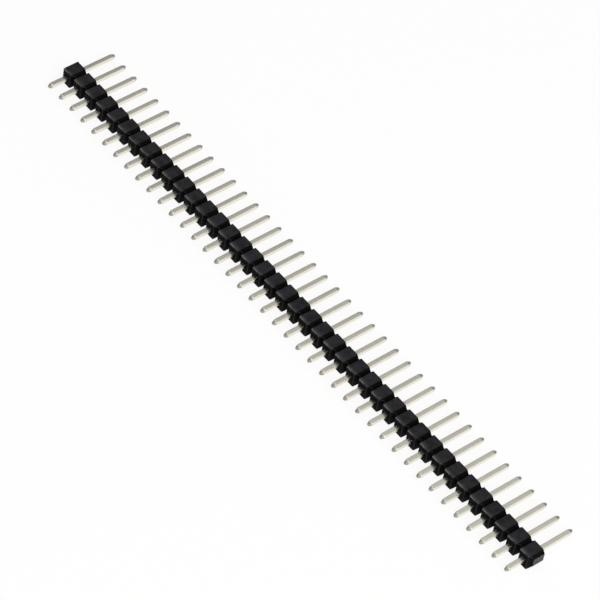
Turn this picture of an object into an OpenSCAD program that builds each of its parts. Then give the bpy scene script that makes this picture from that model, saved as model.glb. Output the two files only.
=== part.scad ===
// Single-row pin header strip, 2.54 mm pitch, lying loose on one side of its insulator.
// X runs along the row, +Y is the way the long mating pins point, +Z is up.
// The origin is the bottom centre of the strip's box, on the surface it lies on.

/* [Row] */
// Number of contacts in the row
pin_count = 40; // [2:1:59]
// Distance from one contact to the next
pitch = 2.54; // [2.3:0.01:3.5]

/* [Insulator] */
// Height of the insulator, along the pins
insulator_h = 2.54; // [1.8:0.01:6]
// Width of the insulator, across the row
insulator_w = 2.54; // [2.3:0.01:5]
// Depth of the break-off notch between two cells, on both sides of the row
notch_depth = 0.56; // [0.2:0.01:0.7]
// Width of the break-off notch at the surface
notch_w = 0.86; // [0.4:0.01:1.3]
// Width of the flat at the bottom of the notch
notch_floor = 0.06; // [0.02:0.01:0.2]
// Depth of the gap that stands two cells apart on the board face
relief_depth = 0.7; // [0.3:0.01:1.2]
// Width of that gap at the board face
relief_w = 0.94; // [0.6:0.01:1.3]
// Width of that gap at its bottom
relief_floor = 0.4; // [0.1:0.01:0.5]
// Depth of the lead-in around each pin hole, on the board face
lead_in = 0.16; // [0.05:0.01:0.3]

/* [Pins] */
// Side of the square pin
pin_side = 0.64; // [0.4:0.01:0.8]
// Length of the mating pin beyond the insulator
mating_len = 5.84; // [3:0.01:20]
// Length of the solder tail beyond the insulator
tail_len = 3.05; // [2:0.01:12]
// Length of the tapered tip
tip_len = 0.5; // [0.2:0.05:1]
// Side of the square flat at the end of the tip
tip_flat = 0.3; // [0.1:0.01:0.38]
// Length of the swaged barb that grips the insulator
barb_len = 0.9; // [0.4:0.05:1.2]
// Height of the barb beyond the pin's side
barb_rise = 0.06; // [0.02:0.01:0.12]

/* [Fit] */
// Clearance between each side of a pin and its hole, nothing for a press fit
pin_clearance = 0; // [0:0.005:0.05]

/* [Hidden] */
// Pins are numbered from the low X end, with two digits
function pin_name(n) = str("pin_", n < 10 ? "0" : "", n);

// Where a pin ends, the insulator's two faces and the barb's middle lie along Y
pin_len = tail_len + insulator_h + mating_len;
tail_y = -pin_len / 2;
seat_y = tail_y + tail_len;
mating_y = seat_y + insulator_h;
tip_y = pin_len / 2;
barb_y = (seat_y + mating_y) / 2;
// The barb rises over this length at each of its ends
barb_ramp = barb_len / 4;
// Cutters pass the faces that they open by this much
overcut = 0.5;

function pin_x(n) = (n - (pin_count + 1) / 2) * pitch;

// Half of the pin's outline seen from one side, from tail to tip, grown by gap
function plain_side(gap) = [
    [tip_flat / 2 + gap, tail_y],
    [pin_side / 2 + gap, tail_y + tip_len],
    [pin_side / 2 + gap, tip_y - tip_len],
    [tip_flat / 2 + gap, tip_y]
];

// The same half outline with the barb in the middle of the insulator
function barbed_side(gap) = let (side = pin_side / 2 + gap) [
    [tip_flat / 2 + gap, tail_y],
    [side, tail_y + tip_len],
    [side, barb_y - barb_len / 2],
    [side + barb_rise, barb_y - barb_len / 2 + barb_ramp],
    [side + barb_rise, barb_y + barb_len / 2 - barb_ramp],
    [side, barb_y + barb_len / 2],
    [side, tip_y - tip_len],
    [tip_flat / 2 + gap, tip_y]
];

// A closed outline from its right half
function both_sides(half) = concat(
    half,
    [for (i = [len(half) - 1 : -1 : 0]) [-half[i].x, half[i].y]]
);

// A bar along Y with one outline seen from above and another seen from the end of the row
module bar(from_above, from_row_end, height) {
    intersection() {
        translate([0, 0, -height / 2])
            linear_extrude(height) polygon(both_sides(from_above));
        rotate([0, 90, 0]) translate([0, 0, -height / 2])
            linear_extrude(height) polygon(both_sides(from_row_end));
    }
}

// The solid of one pin, grown by gap where it cuts its hole
module pin_solid(gap = 0) {
    bar(barbed_side(gap), plain_side(gap), pin_side + 2 * (barb_rise + gap));
}

// The square funnel that guides a tail into its hole
module funnel() {
    mouth = pin_side / 2 + pin_clearance + lead_in + overcut;
    half = [[mouth, seat_y - overcut], [mouth - overcut - lead_in, seat_y + lead_in]];
    bar(half, half, 2 * mouth);
}

// The gap between two cells on the board face, through the whole width of the insulator
module relief() {
    half = [
        [relief_w / 2, seat_y - overcut],
        [relief_w / 2, seat_y],
        [relief_floor / 2, seat_y + relief_depth]
    ];
    translate([0, 0, -overcut])
        linear_extrude(insulator_w + 2 * overcut) polygon(both_sides(half));
}

// The lower edge of one cell, from half way through one notch to half way through the next
function lower_edge(n) = [
    [pin_x(n) - pitch / 2 + notch_floor / 2, notch_depth],
    [pin_x(n) - pitch / 2 + notch_w / 2, 0],
    [pin_x(n) + pitch / 2 - notch_w / 2, 0],
    [pin_x(n) + pitch / 2 - notch_floor / 2, notch_depth]
];

// The row of eight-sided cells, seen along the pins
module cell_row() {
    lower = [for (n = [1 : pin_count], point = lower_edge(n)) point];
    upper = [for (i = [len(lower) - 1 : -1 : 0]) [lower[i].x, insulator_w - lower[i].y]];
    polygon(concat(lower, upper));
}

module insulator() {
    color([0.1, 0.1, 0.11])
    difference() {
        translate([0, mating_y, 0]) rotate([90, 0, 0]) linear_extrude(insulator_h) cell_row();
        for (n = [1 : pin_count])
            translate([pin_x(n), 0, insulator_w / 2]) {
                pin_solid(pin_clearance);
                funnel();
            }
        for (n = [0 : pin_count])
            translate([pin_x(n) + pitch / 2, 0, 0]) relief();
    }
}

module pin(n) {
    color([0.78, 0.77, 0.72])
    translate([pin_x(n), 0, insulator_w / 2]) pin_solid();
}

insulator();
for (n = [1 : pin_count]) pin(n);
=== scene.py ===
"""Looks of a straight single-row pin header strip, lying on white under soft studio light."""

import logging
from dataclasses import dataclass, field
from enum import Enum
from math import cos, pi, radians, sin

import bmesh
import bpy
from mathutils import Matrix, Vector, noise


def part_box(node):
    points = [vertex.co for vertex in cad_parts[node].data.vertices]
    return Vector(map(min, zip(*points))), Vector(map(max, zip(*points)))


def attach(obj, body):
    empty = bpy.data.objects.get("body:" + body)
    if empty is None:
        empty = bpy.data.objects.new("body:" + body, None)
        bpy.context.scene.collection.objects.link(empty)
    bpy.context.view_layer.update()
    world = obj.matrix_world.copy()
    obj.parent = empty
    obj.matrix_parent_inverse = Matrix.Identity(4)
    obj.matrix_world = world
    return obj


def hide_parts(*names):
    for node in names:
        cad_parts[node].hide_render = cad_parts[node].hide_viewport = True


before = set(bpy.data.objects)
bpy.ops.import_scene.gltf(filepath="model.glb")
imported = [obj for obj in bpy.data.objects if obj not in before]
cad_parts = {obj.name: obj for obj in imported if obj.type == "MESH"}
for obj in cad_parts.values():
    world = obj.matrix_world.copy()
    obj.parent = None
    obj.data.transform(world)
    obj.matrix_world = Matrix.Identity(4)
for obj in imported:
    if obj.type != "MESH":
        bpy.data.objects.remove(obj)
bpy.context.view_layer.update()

MM = 0.001
BODY = "root"
LOG = logging.getLogger("pin_header_strip")

Point = tuple[float, float, float]
Colour = tuple[float, float, float]


class Slot(Enum):
    """The record's material slots."""

    INSULATOR = "insulator"
    PINS = "pins"


class Surface(Enum):
    """Kinds of face on a piece, written to the mesh as the float attribute of that name."""

    LAND = "land_face"
    EDGE = "edge_round"
    CUT = "cut_face"


# --------------------------------------------------------------------------------------
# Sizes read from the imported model
# --------------------------------------------------------------------------------------


@dataclass(frozen=True)
class RowPlan:
    """Where the strip's pieces lie, in metres, read from the boxes of the CAD nodes."""

    pins: tuple[str, ...]
    pin_xs: tuple[float, ...]
    pitch: float
    pin_z: float
    pin_half: float
    tail_y: float
    board_y: float
    mating_y: float
    tip_y: float
    low: Vector
    high: Vector

    @classmethod
    def from_frame(cls) -> "RowPlan":
        """Reads the plan from the insulator's box and the pins' boxes.

        Returns:
            The plan of the strip in the row frame.
        """
        names = tuple(sorted(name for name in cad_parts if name.startswith("pin_")))
        boxes = [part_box(name) for name in names]
        xs = tuple((low.x + high.x) / 2 for low, high in boxes)
        low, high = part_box("insulator")
        pin_low, pin_high = boxes[0]
        return cls(
            pins=names,
            pin_xs=xs,
            pitch=(xs[-1] - xs[0]) / (len(xs) - 1),
            pin_z=(pin_low.z + pin_high.z) / 2,
            pin_half=(pin_high.z - pin_low.z) / 2,
            tail_y=pin_low.y,
            board_y=low.y,
            mating_y=high.y,
            tip_y=pin_high.y,
            low=low,
            high=high,
        )

    @property
    def middle(self) -> Vector:
        """The middle of the strip, on the pins' axes."""
        return Vector((0.0, (self.tail_y + self.tip_y) / 2, self.pin_z))


@dataclass(frozen=True)
class Barb:
    """The swaged barb on two sides of a pin, in the middle of the insulator."""

    length: float = 0.90 * MM
    rise: float = 0.06 * MM

    def stations(self, plan: RowPlan) -> list[tuple[float, float]]:
        """Lists where the barb's outline bends, as Y and height beyond the pin's side.

        Args:
            plan: Where the strip's pieces lie.

        Returns:
            The four stations, from the board side to the mating side.
        """
        middle = (plan.board_y + plan.mating_y) / 2
        end, flat_end = self.length / 2, self.length / 4
        return [
            (middle - end, 0.0),
            (middle - flat_end, self.rise),
            (middle + flat_end, self.rise),
            (middle + end, 0.0),
        ]


# --------------------------------------------------------------------------------------
# Mesh helpers
# --------------------------------------------------------------------------------------


def object_from_bmesh(name: str, bm: bmesh.types.BMesh, crease: float) -> bpy.types.Object:
    """Turns a bmesh into a smooth-shaded object whose corners sharper than crease stay sharp.

    Args:
        name: The name of the new object and its mesh.
        bm: The mesh, which is freed.
        crease: The angle between two faces above which their edge is sharp, in radians.

    Returns:
        The new object, linked to the scene.
    """
    mesh = bpy.data.meshes.new(name)
    bm.to_mesh(mesh)
    bm.free()
    mesh.shade_smooth()
    mesh.set_sharp_from_angle(angle=crease)
    piece = bpy.data.objects.new(name, mesh)
    bpy.context.scene.collection.objects.link(piece)
    weighted = piece.modifiers.new("flat faces stay flat", "WEIGHTED_NORMAL")
    weighted.keep_sharp = True
    weighted.weight = 100
    return piece


def face_layer(bm: bmesh.types.BMesh, surface: Surface) -> bmesh.types.BMLayerItem:
    """Returns the per-face float layer of one kind of surface, made if it isn't there."""
    layers = bm.faces.layers.float
    return layers.get(surface.value) or layers.new(surface.value)


# --------------------------------------------------------------------------------------
# Shader helpers
# --------------------------------------------------------------------------------------


@dataclass(frozen=True)
class Ramp:
    """A smooth change: a value from start to end becomes one from first to last."""

    start: float
    end: float
    first: float = 0.0
    last: float = 1.0


class Graph:
    """Adds nodes to one node tree and links them."""

    def __init__(self, tree: bpy.types.NodeTree) -> None:
        """Keeps the tree and starts with no nodes."""
        self.tree = tree
        tree.nodes.clear()

    def node(self, kind: str, **settings: object) -> bpy.types.Node:
        """Adds a node.

        Args:
            kind: The node's type name in Blender.
            settings: Attributes of the node to set.

        Returns:
            The new node.
        """
        node = self.tree.nodes.new(kind)
        for name, value in settings.items():
            setattr(node, name, value)
        return node

    def feed(self, socket: bpy.types.NodeSocket, value: object) -> None:
        """Links a socket to an output, or sets its value.

        Args:
            socket: The input socket.
            value: An output socket, a number, or a colour or vector.
        """
        if isinstance(value, bpy.types.NodeSocket):
            self.tree.links.new(value, socket)
        else:
            socket.default_value = value

    def math(
        self, operation: str, *values: object, clamp: bool = False
    ) -> bpy.types.NodeSocket:
        """Adds a Math node and returns its output.

        Args:
            operation: The operation's name in Blender.
            values: Its operands, outputs or numbers.
            clamp: Whether the result is kept between 0 and 1.

        Returns:
            The node's output socket.
        """
        node = self.node("ShaderNodeMath", operation=operation, use_clamp=clamp)
        for socket, value in zip(node.inputs, values):
            self.feed(socket, value)
        return node.outputs[0]

    def blend(self, factor: object, first: object, second: object) -> bpy.types.NodeSocket:
        """Mixes two colours by a factor from 0 to 1.

        Args:
            factor: How much of the second colour shows.
            first: The colour at 0.
            second: The colour at 1.

        Returns:
            The mixed colour's socket.
        """
        node = self.node("ShaderNodeMix", data_type="RGBA")
        self.feed(node.inputs[0], factor)
        for socket, value in zip((node.inputs[6], node.inputs[7]), (first, second)):
            colour = (*value, 1.0) if isinstance(value, tuple) and len(value) == 3 else value
            self.feed(socket, colour)
        return node.outputs[2]

    def ramp(self, value: object, ramp: Ramp) -> bpy.types.NodeSocket:
        """Maps a value smoothly from one range to another and clamps it there.

        Args:
            value: The value to map.
            ramp: The two ranges.

        Returns:
            The mapped value's socket.
        """
        node = self.node("ShaderNodeMapRange", interpolation_type="SMOOTHSTEP")
        numbers = (value, ramp.start, ramp.end, ramp.first, ramp.last)
        for socket, number in zip(node.inputs, numbers):
            self.feed(socket, number)
        return node.outputs[0]

    def noise(self, vector: object, scale: float, detail: float = 2.0) -> bpy.types.NodeSocket:
        """Adds a noise texture and returns its value.

        Args:
            vector: The place to look up.
            scale: Features per metre.
            detail: How many finer layers it has.

        Returns:
            The noise value's socket, from 0 to 1.
        """
        node = self.node("ShaderNodeTexNoise", normalize=True)
        self.feed(node.inputs["Vector"], vector)
        self.feed(node.inputs["Scale"], scale)
        self.feed(node.inputs["Detail"], detail)
        return node.outputs[0]

    def object_place(self) -> bpy.types.NodeSocket:
        """Returns the place on the surface in the row frame, in metres."""
        return self.node("ShaderNodeTexCoord").outputs["Object"]

    def axes(self, vector: object) -> tuple[bpy.types.NodeSocket, ...]:
        """Splits a vector into its X, Y and Z."""
        node = self.node("ShaderNodeSeparateXYZ")
        self.feed(node.inputs[0], vector)
        return tuple(node.outputs)

    def stretched(self, vector: object, scale: Point) -> bpy.types.NodeSocket:
        """Scales a place differently along each axis."""
        node = self.node("ShaderNodeVectorMath", operation="MULTIPLY")
        self.feed(node.inputs[0], vector)
        self.feed(node.inputs[1], scale)
        return node.outputs[0]

    def looked_at(self) -> bpy.types.NodeSocket:
        """Returns 1 for rays from the camera, a reflection or a refraction, and 0 for others.

        Returns:
            The value's socket.
        """
        ray = self.node("ShaderNodeLightPath")
        seen = self.math("MAXIMUM", ray.outputs["Is Camera Ray"], ray.outputs["Is Glossy Ray"])
        return self.math("MAXIMUM", seen, ray.outputs["Is Transmission Ray"])

    def marked(self, surface: Surface) -> bpy.types.NodeSocket:
        """Returns the mesh's mark for one kind of surface."""
        node = self.node("ShaderNodeAttribute", attribute_name=surface.value)
        return node.outputs["Fac"]

    def bump(self, height: object, distance: float, strength: float) -> bpy.types.NodeSocket:
        """Adds a Bump node.

        Args:
            height: The height's socket, from 0 to 1.
            distance: The height of 1, in metres.
            strength: How much of the bump shows.

        Returns:
            The bent normal's socket.
        """
        node = self.node("ShaderNodeBump")
        self.feed(node.inputs["Strength"], strength)
        self.feed(node.inputs["Distance"], distance)
        self.feed(node.inputs["Height"], height)
        return node.outputs[0]


def new_group(
    name: str, inputs: dict[str, float], outputs: tuple[str, ...]
) -> tuple[bpy.types.NodeTree, Graph, bpy.types.Node, bpy.types.Node]:
    """Makes an empty shader node group that is looked up by place.

    Args:
        name: The group's name.
        inputs: Its number inputs with their defaults, after the vector input Place.
        outputs: Its number outputs.

    Returns:
        The group, a graph on it, and its input and output nodes.
    """
    tree = bpy.data.node_groups.new(name, "ShaderNodeTree")
    tree.interface.new_socket("Place", in_out="INPUT", socket_type="NodeSocketVector")
    number = "NodeSocketFloat"
    for label, default in inputs.items():
        socket = tree.interface.new_socket(label, in_out="INPUT", socket_type=number)
        socket.default_value = default
    for label in outputs:
        tree.interface.new_socket(label, in_out="OUTPUT", socket_type=number)
    graph = Graph(tree)
    return tree, graph, graph.node("NodeGroupInput"), graph.node("NodeGroupOutput")


FINE_SHARE = 0.65  # Of the fine grain in the height, where the slow mottling has the rest
CHANCE_OFFSETS = (0.5, 71.5)  # They keep the two chance values of a cell apart


def grain_group() -> bpy.types.NodeTree:
    """Builds the group of fine grain and slow mottling that plastic and metal share.

    Returns:
        A group with inputs Place, Grain and Mottle, both in features per metre, and outputs
        Fine, Slow and Height, from 0 to 1.
    """
    tree, graph, given, result = new_group(
        "surface grain", {"Grain": 20000.0, "Mottle": 900.0}, ("Fine", "Slow", "Height")
    )
    place, grain, mottle = given.outputs[:3]
    fine = graph.noise(place, grain, detail=3.0)
    slow = graph.noise(place, mottle, detail=2.0)
    height = graph.math("MULTIPLY", fine, FINE_SHARE)
    height = graph.math("MULTIPLY_ADD", slow, 1 - FINE_SHARE, height)
    for socket, value in zip(result.inputs, (fine, slow, height)):
        graph.feed(socket, value)
    return tree


def each_cell_group() -> bpy.types.NodeTree:
    """Builds the group that gives every pin or cell of the row a chance value of its own.

    Returns:
        A group with inputs Place, Pitch in metres and Seed, and outputs First and Second.
    """
    tree, graph, given, result = new_group(
        "one of the row", {"Pitch": 2.54 * MM, "Seed": 0.0}, ("First", "Second")
    )
    place, pitch, seed = given.outputs[:3]
    number = graph.math("FLOOR", graph.math("DIVIDE", graph.axes(place)[0], pitch))
    for socket, offset in zip(result.inputs, CHANCE_OFFSETS):
        chance = graph.node("ShaderNodeTexWhiteNoise", noise_dimensions="1D")
        shifted = graph.math("ADD", graph.math("ADD", number, seed), offset)
        graph.feed(chance.inputs["W"], shifted)
        graph.feed(socket, chance.outputs["Value"])
    return tree


@dataclass(frozen=True)
class EffectGroups:
    """The shader node groups that the finishes share."""

    grain: bpy.types.NodeTree
    each_cell: bpy.types.NodeTree

    @classmethod
    def build(cls) -> "EffectGroups":
        """Builds every shared group once."""
        return cls(grain=grain_group(), each_cell=each_cell_group())


def place_group(
    graph: Graph, tree: bpy.types.NodeTree, place: object, **values: float
) -> bpy.types.Node:
    """Places a shared group in a material.

    Args:
        graph: The material's graph.
        tree: The group.
        place: What its Place input is fed with.
        values: Numbers for its other inputs, by their labels.

    Returns:
        The group's node.
    """
    node = graph.node("ShaderNodeGroup", node_tree=tree)
    graph.feed(node.inputs["Place"], place)
    for label, value in values.items():
        graph.feed(node.inputs[label], value)
    return node


def principled(name: str) -> tuple[bpy.types.Material, Graph, bpy.types.Node]:
    """Makes a material with one Principled BSDF.

    Args:
        name: The material's name.

    Returns:
        The material, its graph and the shader node.
    """
    material = bpy.data.materials.new(name)
    material.use_nodes = True
    graph = Graph(material.node_tree)
    shader = graph.node("ShaderNodeBsdfPrincipled")
    output = graph.node("ShaderNodeOutputMaterial")
    graph.feed(output.inputs["Surface"], shader.outputs[0])
    return material, graph, shader


# --------------------------------------------------------------------------------------
# Finishes
# --------------------------------------------------------------------------------------


@dataclass(frozen=True)
class MouldedBlack:
    """Black glass-filled plastic: satin lands in a painted lit colour, walls in painted shade,
    worn edges and the board edge with painted highlights, torn ends.

    The fields that start with rough are added to the roughness on one kind of face.
    """

    plan: RowPlan
    # One plastic in two tones of painted light: the walls in painted shade, the lands painted
    # lighter as if lit.
    shaded_wall: Colour = (0.0024, 0.0021, 0.0024)
    lit_land: Colour = (0.0235, 0.0228, 0.0255)
    # The lighter colour of worn edges, which also serves as a painted highlight on the edges
    # and the board edge.
    worn_and_highlit: Colour = (0.1500, 0.1435, 0.1465)
    stressed: Colour = (0.1650, 0.1640, 0.1600)
    grain_scale: float = 26000.0
    mottle_scale: float = 1100.0
    seed: float = 3.0
    cloud: Ramp = Ramp(0.3, 0.7, 0.55, 1.15)
    speck: Ramp = Ramp(0.3, 0.7, 0.72, 1.28)
    cell_spread: float = 0.3
    # A painted highlight on the board-side edge of the lands and their rounded edges,
    # strongest at each cell's low X end:
    land_edge: tuple[float, float] = (0.85, 0.95)
    lean: Ramp = Ramp(0.40, 0.68, 1.0, 0.15)
    highlight_reach: float = 0.75 * MM
    highlight_share: float = 0.25
    edge_highlight: float = 1.5
    # Wear on all rounded edges, together with a painted highlight on them:
    edge_wear_and_highlight: float = 0.125
    # The painted highlight made stronger at the corner by the board face:
    corner_reach: float = 0.40 * MM
    corner_highlight: float = 1.8
    torn_scale: float = 7500.0
    torn_detail: float = 6.0
    torn_pattern: Ramp = Ramp(0.34, 0.70, 0.22, 0.85)
    roughness: float = 0.66
    rough_mottle: tuple[float, float] = (-0.06, 0.08)
    rough_cell: float = 0.05
    rough_land: float = -0.2
    rough_edge: float = -0.25
    rough_cut: float = 0.3
    specular: float = 0.05
    grain_depth: float = 0.011 * MM
    grain_strength: float = 0.8

    def board_highlight(self, graph: Graph, place: object, lit_land: object) -> bpy.types.NodeSocket:
        """Masks a painted highlight on the board-side edge of the lands, most at their low X
        end.

        Args:
            graph: The material's graph.
            place: The place on the surface.
            lit_land: The mask of the lands, where the painted lit colour shows.

        Returns:
            The mask's socket, from 0 to 1 and above 1 at the highlit corner.
        """
        x, y, z = graph.axes(place)
        board, half = self.plan.board_y, self.plan.high.z - self.plan.pin_z
        near_board = graph.ramp(y, Ramp(board, board + self.highlight_reach, 1.0, 0.0))
        off_axis = graph.math("ABSOLUTE", graph.math("SUBTRACT", z, self.plan.pin_z))
        near_land = graph.ramp(off_axis, Ramp(*(half * share for share in self.land_edge)))
        edge = graph.math("MULTIPLY", graph.marked(Surface.EDGE), near_land)
        in_cell = graph.math("FRACT", graph.math("DIVIDE", x, self.plan.pitch))
        lean = graph.ramp(in_cell, self.lean)
        leant = graph.math("MULTIPLY", edge, lean)
        lightened = graph.math("MULTIPLY_ADD", leant, self.edge_highlight, lit_land)
        # The painted highlight grows towards the corner at the board face.
        at_lip = graph.ramp(y, Ramp(board, board + self.corner_reach, self.corner_highlight, 0.0))
        more = graph.math("MULTIPLY_ADD", at_lip, lean, 1.0)
        return graph.math("MULTIPLY", graph.math("MULTIPLY", lightened, near_board), more)

    def colour(
        self, graph: Graph, place: object, grain: bpy.types.Node, torn: object, chance: object
    ) -> bpy.types.NodeSocket:
        """Mixes the plastic's colour from its kinds of face: the lands in a painted lit
        colour, the walls in painted shade, and the edges worn with a painted highlight.

        Args:
            graph: The material's graph.
            place: The place on the surface.
            grain: The placed group of fine grain and slow mottling.
            torn: The pattern of the torn ends, from 0 to 1.
            chance: The cell's own chance value, from 0 to 1.

        Returns:
            The colour's socket.
        """
        cloud = graph.ramp(grain.outputs["Slow"], self.cloud)
        speck = graph.ramp(grain.outputs["Fine"], self.speck)
        own = graph.math("MULTIPLY_ADD", chance, self.cell_spread, 1 - self.cell_spread / 2)
        haze = graph.math("MULTIPLY", graph.math("MULTIPLY", cloud, own), speck)
        # Painted light: the lands take the lighter lit colour, and every other face takes the
        # painted shade.
        lit_land = graph.math("MULTIPLY", graph.marked(Surface.LAND), haze, clamp=True)
        colour = graph.blend(lit_land, self.shaded_wall, self.lit_land)
        # Wear on the rounded edges, which also serves as a painted highlight there.
        lightened = graph.math("MULTIPLY", graph.marked(Surface.EDGE), cloud)
        # The painted highlight on the board edge of the lands.
        worn_and_highlit = graph.math("MULTIPLY", self.board_highlight(graph, place, lit_land), self.highlight_share)
        worn_and_highlit = graph.math("MULTIPLY_ADD", lightened, self.edge_wear_and_highlight, worn_and_highlit, clamp=True)
        colour = graph.blend(worn_and_highlit, colour, self.worn_and_highlit)
        stress = graph.math("MULTIPLY", graph.marked(Surface.CUT), torn)
        return graph.blend(stress, colour, self.stressed)

    def material(self, groups: EffectGroups) -> bpy.types.Material:
        """Builds the material.

        Args:
            groups: The shared node groups.

        Returns:
            The plastic's material.
        """
        material, graph, shader = principled("moulded_black")
        place = graph.object_place()
        grain = place_group(
            graph, groups.grain, place, Grain=self.grain_scale, Mottle=self.mottle_scale
        )
        cell = place_group(
            graph, groups.each_cell, place, Pitch=self.plan.pitch, Seed=self.seed
        )
        chance = cell.outputs["First"]
        torn = graph.noise(place, self.torn_scale, detail=self.torn_detail)
        torn = graph.ramp(torn, self.torn_pattern)
        graph.feed(shader.inputs["Base Color"], self.colour(graph, place, grain, torn, chance))

        least, most = (self.roughness + change for change in self.rough_mottle)
        mottled = Ramp(self.cloud.start, self.cloud.end, least, most)
        rough = graph.ramp(grain.outputs["Slow"], mottled)
        rough = graph.math("MULTIPLY_ADD", chance, self.rough_cell, rough)
        for surface, change in (
            (Surface.LAND, self.rough_land),
            (Surface.EDGE, self.rough_edge),
            (Surface.CUT, self.rough_cut),
        ):
            mark = graph.marked(surface)
            rough = graph.math("MULTIPLY_ADD", mark, change, rough, clamp=True)
        graph.feed(shader.inputs["Roughness"], rough)

        graph.feed(shader.inputs["Specular IOR Level"], self.specular)
        cut = graph.marked(Surface.CUT)
        height = graph.math("MULTIPLY_ADD", cut, torn, grain.outputs["Height"])
        normal = graph.bump(height, self.grain_depth, self.grain_strength)
        graph.feed(shader.inputs["Normal"], normal)
        return material


@dataclass(frozen=True)
class TinPlate:
    """Tin on drawn brass wire: streaks along the pin, greyer coined tips, duller cut ends.

    The fields that end with dulling are shares of the dull colour, and those that end with
    roughness are added to the roughness.
    """

    plan: RowPlan
    tip_length: float
    bright: Colour = (0.880, 0.850, 0.750)
    dull: Colour = (0.790, 0.760, 0.660)
    tip: Colour = (0.300, 0.290, 0.265)
    cut: Colour = (0.420, 0.375, 0.290)
    seed: float = 11.0
    grain_scale: float = 14000.0
    mottle_scale: float = 1500.0
    streak_scale: Point = (22000.0, 260.0, 22000.0)
    coined_from: float = 1.15
    coined_to: float = 0.55
    patch: Ramp = Ramp(0.35, 0.7)
    pin_dulling: float = 0.45
    patch_dulling: float = 0.4
    streak_dulling: float = 0.25
    tip_share: float = 0.85
    roughness: float = 0.22
    pin_roughness: float = 0.08
    streak_roughness: float = 0.10
    tip_roughness: float = 0.12
    grain_height: float = 0.08
    streak_height: float = 0.7
    bump_depth: float = 0.0015 * MM
    bump_strength: float = 0.6

    def material(self, groups: EffectGroups) -> bpy.types.Material:
        """Builds the material.

        Args:
            groups: The shared node groups.

        Returns:
            The pins' material.
        """
        material, graph, shader = principled("tin_plated_wire")
        place = graph.object_place()
        _, along, _ = graph.axes(place)
        pin = place_group(
            graph, groups.each_cell, place, Pitch=self.plan.pitch, Seed=self.seed
        )
        grain = place_group(
            graph, groups.grain, place, Grain=self.grain_scale, Mottle=self.mottle_scale
        )
        drawn = graph.noise(graph.stretched(place, self.streak_scale), 1.0)

        middle = (self.plan.tip_y + self.plan.tail_y) / 2
        reach = (self.plan.tip_y - self.plan.tail_y) / 2
        from_middle = graph.math("ABSOLUTE", graph.math("SUBTRACT", along, middle))
        shaft_end = reach - self.tip_length * self.coined_from
        all_tip = reach - self.tip_length * self.coined_to
        coined = graph.ramp(from_middle, Ramp(shaft_end, all_tip))

        patch = graph.ramp(grain.outputs["Slow"], self.patch)
        tone = graph.math("MULTIPLY", patch, self.patch_dulling)
        tone = graph.math("MULTIPLY_ADD", pin.outputs["First"], self.pin_dulling, tone)
        tone = graph.math("MULTIPLY_ADD", drawn, self.streak_dulling, tone, clamp=True)
        colour = graph.blend(tone, self.bright, self.dull)
        colour = graph.blend(graph.math("MULTIPLY", coined, self.tip_share), colour, self.tip)
        colour = graph.blend(graph.marked(Surface.CUT), colour, self.cut)
        graph.feed(shader.inputs["Base Color"], colour)

        least, spread = self.roughness - self.pin_roughness / 2, self.pin_roughness
        rough = graph.math("MULTIPLY_ADD", pin.outputs["Second"], spread, least)
        rough = graph.math("MULTIPLY_ADD", drawn, self.streak_roughness, rough)
        rough = graph.math("MULTIPLY_ADD", coined, self.tip_roughness, rough, clamp=True)
        graph.feed(shader.inputs["Roughness"], rough)

        graph.feed(shader.inputs["Metallic"], 1.0)
        height = graph.math("MULTIPLY", drawn, self.streak_height)
        height = graph.math("MULTIPLY_ADD", grain.outputs["Fine"], self.grain_height, height)
        normal = graph.bump(height, self.bump_depth, self.bump_strength)
        graph.feed(shader.inputs["Normal"], normal)
        return material


@dataclass(frozen=True)
class PaleFloor:
    """A plain pale studio floor that shows near white and keeps the object's shadow."""

    colour: Colour = (0.96, 0.96, 0.955)
    lift: float = 0.86

    def material(self) -> bpy.types.Material:
        """Builds the floor's material.

        Returns:
            A material that is plain diffuse in the light it sends to the object, and lifted
            towards white where the camera, a reflection or a refraction sees it.
        """
        material = bpy.data.materials.new("pale_floor")
        material.use_nodes = True
        graph = Graph(material.node_tree)
        matte = graph.node("ShaderNodeBsdfDiffuse")
        graph.feed(matte.inputs["Color"], (*self.colour, 1.0))
        white = graph.node("ShaderNodeEmission")
        graph.feed(white.inputs["Strength"], 1.0)
        mix = graph.node("ShaderNodeMixShader")
        graph.feed(mix.inputs[0], graph.math("MULTIPLY", graph.looked_at(), self.lift))
        graph.feed(mix.inputs[1], matte.outputs[0])
        graph.feed(mix.inputs[2], white.outputs[0])
        output = graph.node("ShaderNodeOutputMaterial")
        graph.feed(output.inputs["Surface"], mix.outputs[0])
        return material


# --------------------------------------------------------------------------------------
# The insulator
# --------------------------------------------------------------------------------------


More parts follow.
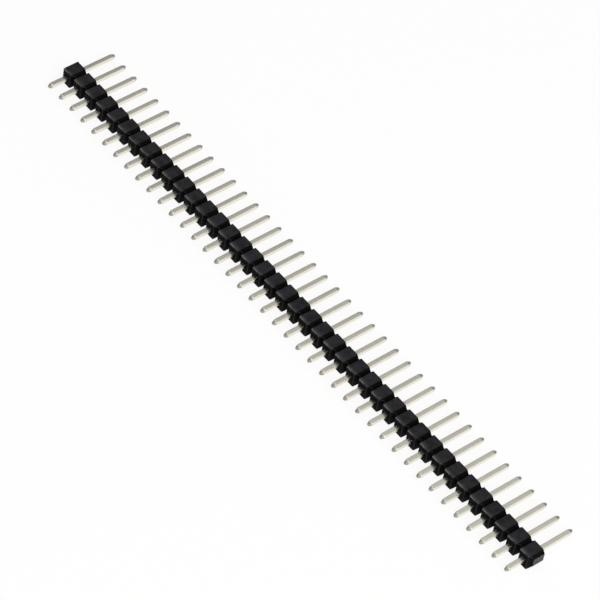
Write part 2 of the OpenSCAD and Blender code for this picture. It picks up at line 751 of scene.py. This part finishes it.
@dataclass
class Insulator:
    """The moulded insulator: cells with break-off notches and gaps at the board face."""

    plan: RowPlan
    notch_depth: float = 0.56 * MM
    notch_width: float = 0.86 * MM
    notch_floor: float = 0.06 * MM
    relief_depth: float = 0.70 * MM
    relief_width: float = 0.94 * MM
    relief_floor: float = 0.40 * MM
    lead_in: float = 0.16 * MM
    barb: Barb = Barb()
    edge_radius: float = 0.055 * MM
    edge_steps: int = 3
    edge_angle: float = radians(20)
    crease: float = radians(40)
    torn_depth: float = 0.10 * MM
    torn_rim: float = 0.02 * MM
    torn_ridges: float = 0.30 * MM
    torn_grain: float = 0.07 * MM
    torn_fineness: float = 0.7
    torn_scaling: float = 2.2
    torn_layers: int = 4
    weld: float = 0.0001 * MM
    seed: int = 40

    def hole_stations(self) -> list[tuple[float, float]]:
        """Lists where the hole's side walls change, as Y and distance from the pin's axis.

        Returns:
            The stations from the funnel's end to the mating face.
        """
        half = self.plan.pin_half
        return [
            (self.plan.board_y + self.lead_in, half),
            *((y, half + rise) for y, rise in self.barb.stations(self.plan)),
            (self.plan.mating_y, half),
        ]

    def quarter_faces(self) -> list[list[Point]]:
        """Lists the faces of a quarter of one cell, about the pin's axis, as loops of points.

        Returns:
            The faces, each a closed loop.
        """
        plan = self.plan
        half_pitch, top = plan.pitch / 2, plan.high.z - plan.pin_z
        notch_z = top - self.notch_depth
        flat_x = half_pitch - self.notch_width / 2
        floor_x = half_pitch - self.notch_floor / 2
        tooth_x = half_pitch - self.relief_width / 2
        root_x = half_pitch - self.relief_floor / 2
        board, mating = plan.board_y, plan.mating_y
        root_y = board + self.relief_depth
        lip_y = board + self.relief_depth * (flat_x - tooth_x) / (root_x - tooth_x)
        root_z = top - self.notch_depth * (root_x - flat_x) / (floor_x - flat_x)
        hole, mouth = plan.pin_half, plan.pin_half + self.lead_in
        faces: list[list[Point]] = [
            [(0, board, top), (tooth_x, board, top), (flat_x, lip_y, top),
             (flat_x, mating, top), (0, mating, top)],
            [(flat_x, lip_y, top), (root_x, root_y, root_z), (floor_x, root_y, notch_z),
             (floor_x, mating, notch_z), (flat_x, mating, top)],
            [(floor_x, root_y, notch_z), (half_pitch, root_y, notch_z),
             (half_pitch, mating, notch_z), (floor_x, mating, notch_z)],
            [(tooth_x, board, 0), (root_x, root_y, 0), (root_x, root_y, root_z),
             (flat_x, lip_y, top), (tooth_x, board, top)],
            [(root_x, root_y, 0), (half_pitch, root_y, 0), (half_pitch, root_y, notch_z),
             (floor_x, root_y, notch_z), (root_x, root_y, root_z)],
            [(hole, mating, 0), (hole, mating, hole), (0, mating, hole), (0, mating, top),
             (flat_x, mating, top), (floor_x, mating, notch_z),
             (half_pitch, mating, notch_z), (half_pitch, mating, 0)],
            [(mouth, board, 0), (tooth_x, board, 0), (tooth_x, board, top), (0, board, top),
             (0, board, mouth), (mouth, board, mouth)],
        ]
        walls = [(board, mouth, mouth)] + [(y, x, hole) for y, x in self.hole_stations()]
        for (y0, x0, z0), (y1, x1, z1) in zip(walls, walls[1:]):
            faces.append([(x0, y0, 0), (x0, y0, z0), (x1, y1, z1), (x1, y1, 0)])
            faces.append([(0, y0, z0), (0, y1, z1), (x1, y1, z1), (x0, y0, z0)])
        return faces

    def quarter_cell(self) -> bmesh.types.BMesh:
        """Builds a quarter of one cell, open at its planes of symmetry, with rounded edges.

        Returns:
            The quarter, whose rounded faces are marked as edges.
        """
        bm = bmesh.new()
        edge_mark, land_mark = face_layer(bm, Surface.EDGE), face_layer(bm, Surface.LAND)
        for number, loop in enumerate(self.quarter_faces()):
            face = bm.faces.new([bm.verts.new(point) for point in loop])
            # The flats are marked as lands, which the plastic paints in a lighter lit colour,
            # with painted shade on the other faces.
            face[land_mark] = 1.0 if number == 0 else 0.0
        bmesh.ops.remove_doubles(bm, verts=bm.verts, dist=self.weld)
        bmesh.ops.recalc_face_normals(bm, faces=bm.faces)
        wall = self.plan.pin_half + self.lead_in + self.weld
        outer = [
            edge
            for edge in bm.edges
            if len(edge.link_faces) == 2
            and edge.is_convex
            and edge.calc_face_angle() > self.edge_angle
            and max(max(abs(v.co.x), abs(v.co.z)) for v in edge.verts) > wall
        ]
        rounded = bmesh.ops.bevel(
            bm, geom=outer, offset=self.edge_radius, offset_type="OFFSET",
            segments=self.edge_steps, profile=0.5, affect="EDGES", clamp_overlap=True,
        )
        for face in rounded["faces"]:
            # The rounded faces are marked as edges, which take wear and a painted highlight.
            face[edge_mark], face[land_mark] = 1.0, 0.0
        return bm

    def row(self) -> bmesh.types.BMesh:
        """Joins four mirrored quarters into each cell and the cells into one moulding.

        Returns:
            The whole row, open at its two ends.
        """
        quarter = self.quarter_cell()
        kinds = (Surface.EDGE, Surface.LAND)
        given = [face_layer(quarter, kind) for kind in kinds]
        quarter.verts.index_update()
        points = [vert.co.copy() for vert in quarter.verts]
        loops = [
            ([vert.index for vert in face.verts], [face[mark] for mark in given])
            for face in quarter.faces
        ]
        quarter.free()
        bm = bmesh.new()
        taken = [face_layer(bm, kind) for kind in kinds]
        face_layer(bm, Surface.CUT)
        for centre in self.plan.pin_xs:
            for side in (1, -1):
                for up in (1, -1):
                    verts = [
                        bm.verts.new((centre + side * p.x, p.y, self.plan.pin_z + up * p.z))
                        for p in points
                    ]
                    for loop, marks in loops:
                        turned = loop if side * up > 0 else loop[::-1]
                        face = bm.faces.new([verts[i] for i in turned])
                        for layer, mark in zip(taken, marks):
                            face[layer] = mark
        bmesh.ops.remove_doubles(bm, verts=bm.verts, dist=self.weld)
        return bm

    def tear_end(self, bm: bmesh.types.BMesh, x: float, outward: int) -> None:
        """Closes one end of the row with the rough face left where it was snapped off.

        Args:
            bm: The row.
            x: Where the row ends.
            outward: 1 at the high end and -1 at the low end.
        """
        bmesh.ops.bisect_plane(
            bm, geom=[*bm.verts, *bm.edges, *bm.faces], dist=self.weld / 10,
            plane_co=(x, 0, 0), plane_no=(outward, 0, 0), clear_outer=True,
        )
        rim = [e for e in bm.edges if e.is_boundary and abs(e.verts[0].co.x - x) < self.weld]
        layer = face_layer(bm, Surface.CUT)
        for face in bmesh.ops.holes_fill(bm, edges=rim, sides=0)["faces"]:
            face[layer] = 1.0

        def torn_faces() -> list[bmesh.types.BMFace]:
            """Lists the faces of the patch that closes this end."""
            return [f for f in bm.faces if f[layer] and f.verts[0].co.x * outward > 0]

        def long_edges() -> list[bmesh.types.BMEdge]:
            """Lists the edges of the patch that are longer than the grain."""
            edges = dict.fromkeys(edge for face in torn_faces() for edge in face.edges)
            return [edge for edge in edges if edge.calc_length() > self.torn_grain]

        bmesh.ops.triangulate(bm, faces=torn_faces())
        while long := long_edges():
            bmesh.ops.subdivide_edges(bm, edges=long, cuts=1)
            bmesh.ops.triangulate(bm, faces=torn_faces())
        for vert in {vert for face in torn_faces() for vert in face.verts}:
            inside = all(face[layer] for face in vert.link_faces)
            where = Vector((vert.co.y, vert.co.z, self.seed * outward * MM)) / self.torn_ridges
            rise = noise.fractal(
                where, self.torn_fineness, self.torn_scaling, self.torn_layers
            )
            most = self.torn_depth if inside else self.torn_rim
            vert.co.x -= outward * most * min(max(0.5 + 0.5 * rise, 0.0), 1.0)

    def build(self) -> bpy.types.Object:
        """Builds the moulding and lets it stand for the CAD node.

        Returns:
            The insulator's object.
        """
        bm = self.row()
        self.tear_end(bm, self.plan.high.x, 1)
        self.tear_end(bm, self.plan.low.x, -1)
        bmesh.ops.recalc_face_normals(bm, faces=bm.faces)
        piece = object_from_bmesh("insulator_moulding", bm, self.crease)
        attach(piece, BODY)
        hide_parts("insulator")
        return piece

    def dress(self, piece: bpy.types.Object, groups: EffectGroups) -> None:
        """Gives the moulding its plastic."""
        piece.data.materials.append(MouldedBlack(self.plan).material(groups))


# --------------------------------------------------------------------------------------
# The pins
# --------------------------------------------------------------------------------------


ROUND_MIDDLE = 0.3  # How far a rounding's middle is from both faces, in radii


@dataclass(frozen=True)
class Section:
    """One cross-section of a pin: where it is, its half width and half height, its corners."""

    y: float
    half_x: float
    half_z: float
    corner: float


@dataclass
class ContactRow:
    """The contact pins: drawn square wire with coined tips and a barb inside the cell."""

    plan: RowPlan
    tip_length: float = 0.50 * MM
    tip_flat: float = 0.30 * MM
    corner_radius: float = 0.05 * MM
    tip_round: float = 0.03 * MM
    barb: Barb = Barb()
    corner_steps: int = 3
    crease: float = radians(50)
    made: list[bpy.types.Object] = field(default_factory=list)

    def tip_sections(self, end: float, inward: int) -> list[Section]:
        """Lists the sections of one coined tip, from its end face to the shaft.

        Args:
            end: Where the pin ends, along Y.
            inward: 1 where the pin runs towards +Y from that end, and -1 where towards -Y.

        Returns:
            The sections in order, starting at the end face.
        """
        flat, shaft = self.tip_flat / 2, self.plan.pin_half
        slope = (shaft - flat) / self.tip_length
        small, soft = self.tip_round, self.tip_round * 2

        def tapered(depth: float, less: float = 0.0) -> Section:
            """The section of the taper at a depth from the end, made smaller by less."""
            half = flat + slope * depth - less
            share = depth / self.tip_length
            corner = small + (self.corner_radius - small) * share
            return Section(end + inward * depth, half, half, corner)

        shoulder = self.tip_length
        return [
            tapered(0.0, small),
            tapered(small * ROUND_MIDDLE, small * ROUND_MIDDLE),
            tapered(small),
            tapered(shoulder * 0.5),
            tapered(shoulder - soft),
            tapered(shoulder, slope * soft / 4),
            Section(end + inward * (shoulder + soft), shaft, shaft, self.corner_radius),
        ]

    def sections(self) -> list[Section]:
        """Lists all sections of a pin, from the tail's end to the mating end."""
        plan, half = self.plan, self.plan.pin_half
        barb = [
            Section(y, half + rise, half, self.corner_radius)
            for y, rise in self.barb.stations(plan)
        ]
        tail = self.tip_sections(plan.tail_y, 1)
        mating = self.tip_sections(plan.tip_y, -1)[::-1]
        return [*tail, *barb, *mating]

    def ring(self, section: Section) -> list[tuple[float, float]]:
        """Lists the points of one rounded square section, about the pin's axis.

        Args:
            section: The section.

        Returns:
            The points as X and Z, anticlockwise.
        """
        points: list[tuple[float, float]] = []
        for quarter in range(4):
            for step in range(self.corner_steps + 1):
                turn = pi / 2 * (quarter + step / self.corner_steps)
                sign_x = 1 if quarter in (0, 3) else -1
                sign_z = 1 if quarter in (0, 1) else -1
                points.append((
                    sign_x * (section.half_x - section.corner) + section.corner * cos(turn),
                    sign_z * (section.half_z - section.corner) + section.corner * sin(turn),
                ))
        return points

    def pin_mesh(self, name: str, x: float) -> bpy.types.Object:
        """Lofts one pin through its sections.

        Args:
            name: The name of the new object.
            x: Where the pin stands along the row.

        Returns:
            The pin's object, with its end faces marked as cut.
        """
        bm = bmesh.new()
        layer = face_layer(bm, Surface.CUT)
        rings = [
            [bm.verts.new((x + px, s.y, self.plan.pin_z + pz)) for px, pz in self.ring(s)]
            for s in self.sections()
        ]
        count = len(rings[0])
        for near, far in zip(rings, rings[1:]):
            for i in range(count):
                j = (i + 1) % count
                bm.faces.new((near[i], near[j], far[j], far[i]))
        bm.faces.new(rings[0])[layer] = 1.0
        bm.faces.new(rings[-1][::-1])[layer] = 1.0
        bmesh.ops.recalc_face_normals(bm, faces=bm.faces)
        return object_from_bmesh(name, bm, self.crease)

    def build(self) -> list[bpy.types.Object]:
        """Builds every pin and lets it stand for its CAD node.

        Returns:
            The pins' objects, from the low X end.
        """
        for node, x in zip(self.plan.pins, self.plan.pin_xs):
            piece = self.pin_mesh(f"contact_{node}", x)
            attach(piece, BODY)
            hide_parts(node)
            self.made.append(piece)
        return self.made

    def dress(self, groups: EffectGroups) -> None:
        """Gives every pin its plating."""
        plating = TinPlate(self.plan, self.tip_length).material(groups)
        for piece in self.made:
            piece.data.materials.append(plating)


# --------------------------------------------------------------------------------------
# Studio
# --------------------------------------------------------------------------------------


@dataclass
class Studio:
    """The floor, the soft light and the camera."""

    plan: RowPlan
    floor_side: float = 6.0
    floor_gap: float = 0.002 * MM
    horizon_strength: float = 0.95
    wall_strength: float = 0.16
    ceiling_strength: float = 0.89
    horizon_heights: tuple[float, float] = (0.12, 0.50)
    ceiling_heights: tuple[float, float] = (0.71, 0.825)
    key_power: float = 5.9
    key_width: float = 0.8
    key_distance: float = 0.9
    key_direction: Point = (0.80, -0.30, 0.85)
    sight: Point = (0.600, -0.627, 1.0)
    distance: float = 508 * MM
    lens: float = 228.0
    sensor: float = 36.0
    nearest: float = 0.01
    farthest: float = 50.0
    roll: float = radians(10.5)

    def floor(self) -> None:
        """Lays the pale floor just under the strip."""
        half = self.floor_side / 2
        bm = bmesh.new()
        corners = ((-half, -half), (half, -half), (half, half), (-half, half))
        bm.faces.new([bm.verts.new((x, y, -self.floor_gap)) for x, y in corners])
        mesh = bpy.data.meshes.new("floor")
        bm.to_mesh(mesh)
        bm.free()
        floor = bpy.data.objects.new("floor", mesh)
        floor.data.materials.append(PaleFloor().material())
        bpy.context.scene.collection.objects.link(floor)

    def world(self) -> None:
        """Sets a plain surround, pale at the horizon, dim above it and pale overhead."""
        world = bpy.data.worlds.new("studio")
        world.use_nodes = True
        bpy.context.scene.world = world
        graph = Graph(world.node_tree)
        light = graph.node("ShaderNodeBackground")
        graph.feed(light.inputs["Color"], (1.0, 1.0, 1.0, 1.0))
        up = graph.axes(graph.node("ShaderNodeTexCoord").outputs["Generated"])[2]
        wall = self.wall_strength
        falling = Ramp(*self.horizon_heights, self.horizon_strength, wall)
        rising = Ramp(*self.ceiling_heights, 0.0, self.ceiling_strength - wall)
        horizon, ceiling = graph.ramp(up, falling), graph.ramp(up, rising)
        graph.feed(light.inputs["Strength"], graph.math("ADD", horizon, ceiling))
        output = graph.node("ShaderNodeOutputWorld")
        graph.feed(output.inputs["Surface"], light.outputs[0])

    def key_light(self) -> None:
        """Hangs one large soft lamp above the strip, towards its high X end."""
        lamp = bpy.data.lights.new("key", "AREA")
        lamp.shape = "DISK"
        lamp.size = self.key_width
        lamp.energy = self.key_power
        key = bpy.data.objects.new("key", lamp)
        away = Vector(self.key_direction).normalized()
        key.location = self.plan.middle + away * self.key_distance
        key.rotation_euler = away.to_track_quat("Z", "Y").to_euler()
        bpy.context.scene.collection.objects.link(key)

    def camera(self) -> None:
        """Puts the camera on the line of sight, turned about it by the roll."""
        lens = bpy.data.cameras.new("camera")
        lens.lens = self.lens
        lens.sensor_width = self.sensor
        lens.clip_start = self.nearest
        lens.clip_end = self.farthest
        camera = bpy.data.objects.new("camera", lens)
        away = Vector(self.sight).normalized()
        place = Matrix.Translation(self.plan.middle + away * self.distance)
        look = away.to_track_quat("Z", "Y").to_matrix().to_4x4()
        camera.matrix_world = place @ look @ Matrix.Rotation(self.roll, 4, "Z")
        bpy.context.scene.collection.objects.link(camera)
        bpy.context.scene.camera = camera

    def build(self) -> None:
        """Builds the floor, the surround, the lamp and the camera."""
        self.floor()
        self.world()
        self.key_light()
        self.camera()
        bpy.context.scene.view_settings.view_transform = "Standard"


def main() -> None:
    """Builds the strip's pieces and the studio."""
    logging.basicConfig(level=logging.INFO, format="%(name)s: %(message)s")
    plan = RowPlan.from_frame()
    groups = EffectGroups.build()

    insulator = Insulator(plan)
    moulding = insulator.build()
    insulator.dress(moulding, groups)
    LOG.info("insulator: %d faces", len(moulding.data.polygons))

    contacts = ContactRow(plan)
    pins = contacts.build()
    contacts.dress(groups)
    LOG.info("pins: %d, each %d faces", len(pins), len(pins[0].data.polygons))

    Studio(plan).build()
    LOG.info("studio: floor, surround, key light and camera")


if __name__ == "__main__":
    main()
